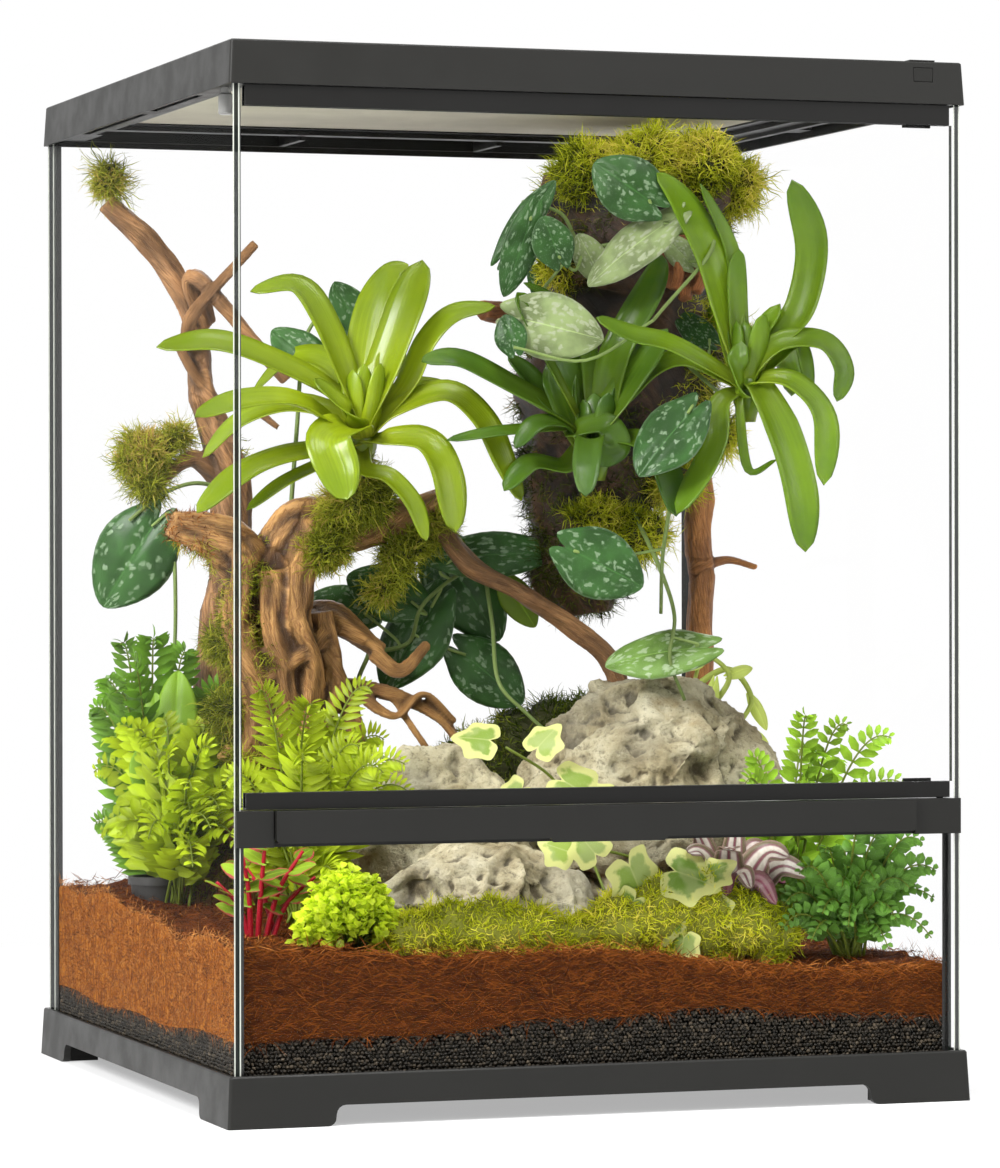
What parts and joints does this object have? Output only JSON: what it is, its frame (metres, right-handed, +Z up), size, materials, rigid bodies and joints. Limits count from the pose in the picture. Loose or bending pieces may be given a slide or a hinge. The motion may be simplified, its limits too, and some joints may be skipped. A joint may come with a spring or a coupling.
{
  "type": "reptile terrarium",
  "caption": "Planted glass terrarium with one swinging front door, a lift-out screen top and a vented front rail on a footed base.",
  "frame": {"origin": "middle of the footprint, on the surface that the four feet stand on", "axes": "+Z up, -Y towards the door, +X to the right seen from the front"},
  "size_m": [0.46, 0.4617, 0.621],
  "materials": {
    "case_plastic": "satin",
    "rail_plastic": "satin",
    "glass": "polished",
    "bead": "matte",
    "stud": "gloss",
    "wire": "satin",
    "pumice": "matte",
    "coir": "matte",
    "rock": "matte",
    "wood": "matte",
    "bark": "matte",
    "moss": "matte",
    "leaf_lime": "satin",
    "leaf_green": "satin",
    "leaf_vine": "satin",
    "leaf_red": "satin",
    "leaf_purple": "satin",
    "pot": "matte"
  },
  "bodies": {
    "case": {"base_frame": "case_plastic", "floor_glass": "glass", "left_glass": "glass", "right_glass": "glass", "rear_glass": "glass", "front_glass": "glass", "corner_beads": "bead", "front_rail": "case_plastic", "top_frame": "case_plastic", "hanger_stud": "stud", "drainage_beads": "pumice", "coir_bed": "coir", "peak_rock": "rock", "side_rock": "rock", "front_rock": "rock", "root_wood": "wood", "tall_branch": "wood", "long_branch": "wood", "bark_column": "bark", "wood_post": "wood", "branch_moss": "moss", "root_moss": "moss", "column_moss": "moss", "rock_moss": "moss", "front_moss": "moss", "left_rosette": "leaf_lime", "middle_rosette": "leaf_green", "right_rosette": "leaf_green", "root_vine": "leaf_vine", "ground_vine": "leaf_vine", "column_vine": "leaf_vine", "shoot_vine": "leaf_lime", "corner_fern": "leaf_green", "door_fern": "leaf_lime", "right_fern": "leaf_green", "low_fern": "leaf_green", "bushy_plant": "leaf_lime", "red_stem_plant": "leaf_red", "ivy_plant": "leaf_lime", "striped_plant": "leaf_purple", "plant_pot": "pot"},
    "door": {"door_glass": "glass", "door_top_rail": "rail_plastic", "door_low_rail": "rail_plastic"},
    "upper_pin": {"hinge_pin_top": "rail_plastic"},
    "lower_pin": {"hinge_pin_low": "rail_plastic"},
    "latch": {"latch_bar": "case_plastic"},
    "screen": {"screen_frame": "rail_plastic", "screen_mesh": "wire"},
    "lock": {"screen_lock": "case_plastic"},
    "left_inlet": {"inlet_cover_left": "rail_plastic"},
    "right_inlet": {"inlet_cover_right": "rail_plastic"}
  },
  "joints": [
    {"name": "door_hinge", "type": "hinge", "parent": "case", "child": "door", "pos_m": [0.213, -0.2225, 0.3881], "axis": [0, 0, 1], "range_deg": [0, 110]},
    {"name": "upper_pin_slide", "type": "slide", "parent": "door", "child": "upper_pin", "axis": [0, 0, -1], "range_m": [0, 0.0046], "stiffness_N_per_m": 60, "springref_m": -0.004},
    {"name": "lower_pin_slide", "type": "slide", "parent": "door", "child": "lower_pin", "axis": [0, 0, 1], "range_m": [0, 0.0046], "stiffness_N_per_m": 60, "springref_m": -0.004},
    {"name": "latch_hinge", "type": "hinge", "parent": "case", "child": "latch", "pos_m": [0, -0.226, 0.1645], "axis": [1, 0, 0], "range_deg": [0, 25]},
    {"name": "screen_lift", "type": "slide", "parent": "case", "child": "screen", "axis": [0, 0, 1], "range_m": [0, 0.06]},
    {"name": "lock_slide", "type": "slide", "parent": "case", "child": "lock", "axis": [0, 1, 0], "range_m": [0, 0.006]},
    {"name": "left_inlet_slide", "type": "slide", "parent": "case", "child": "left_inlet", "axis": [1, 0, 0], "range_m": [0, 0.05]},
    {"name": "right_inlet_slide", "type": "slide", "parent": "case", "child": "right_inlet", "axis": [-1, 0, 0], "range_m": [0, 0.05]}
  ]
}
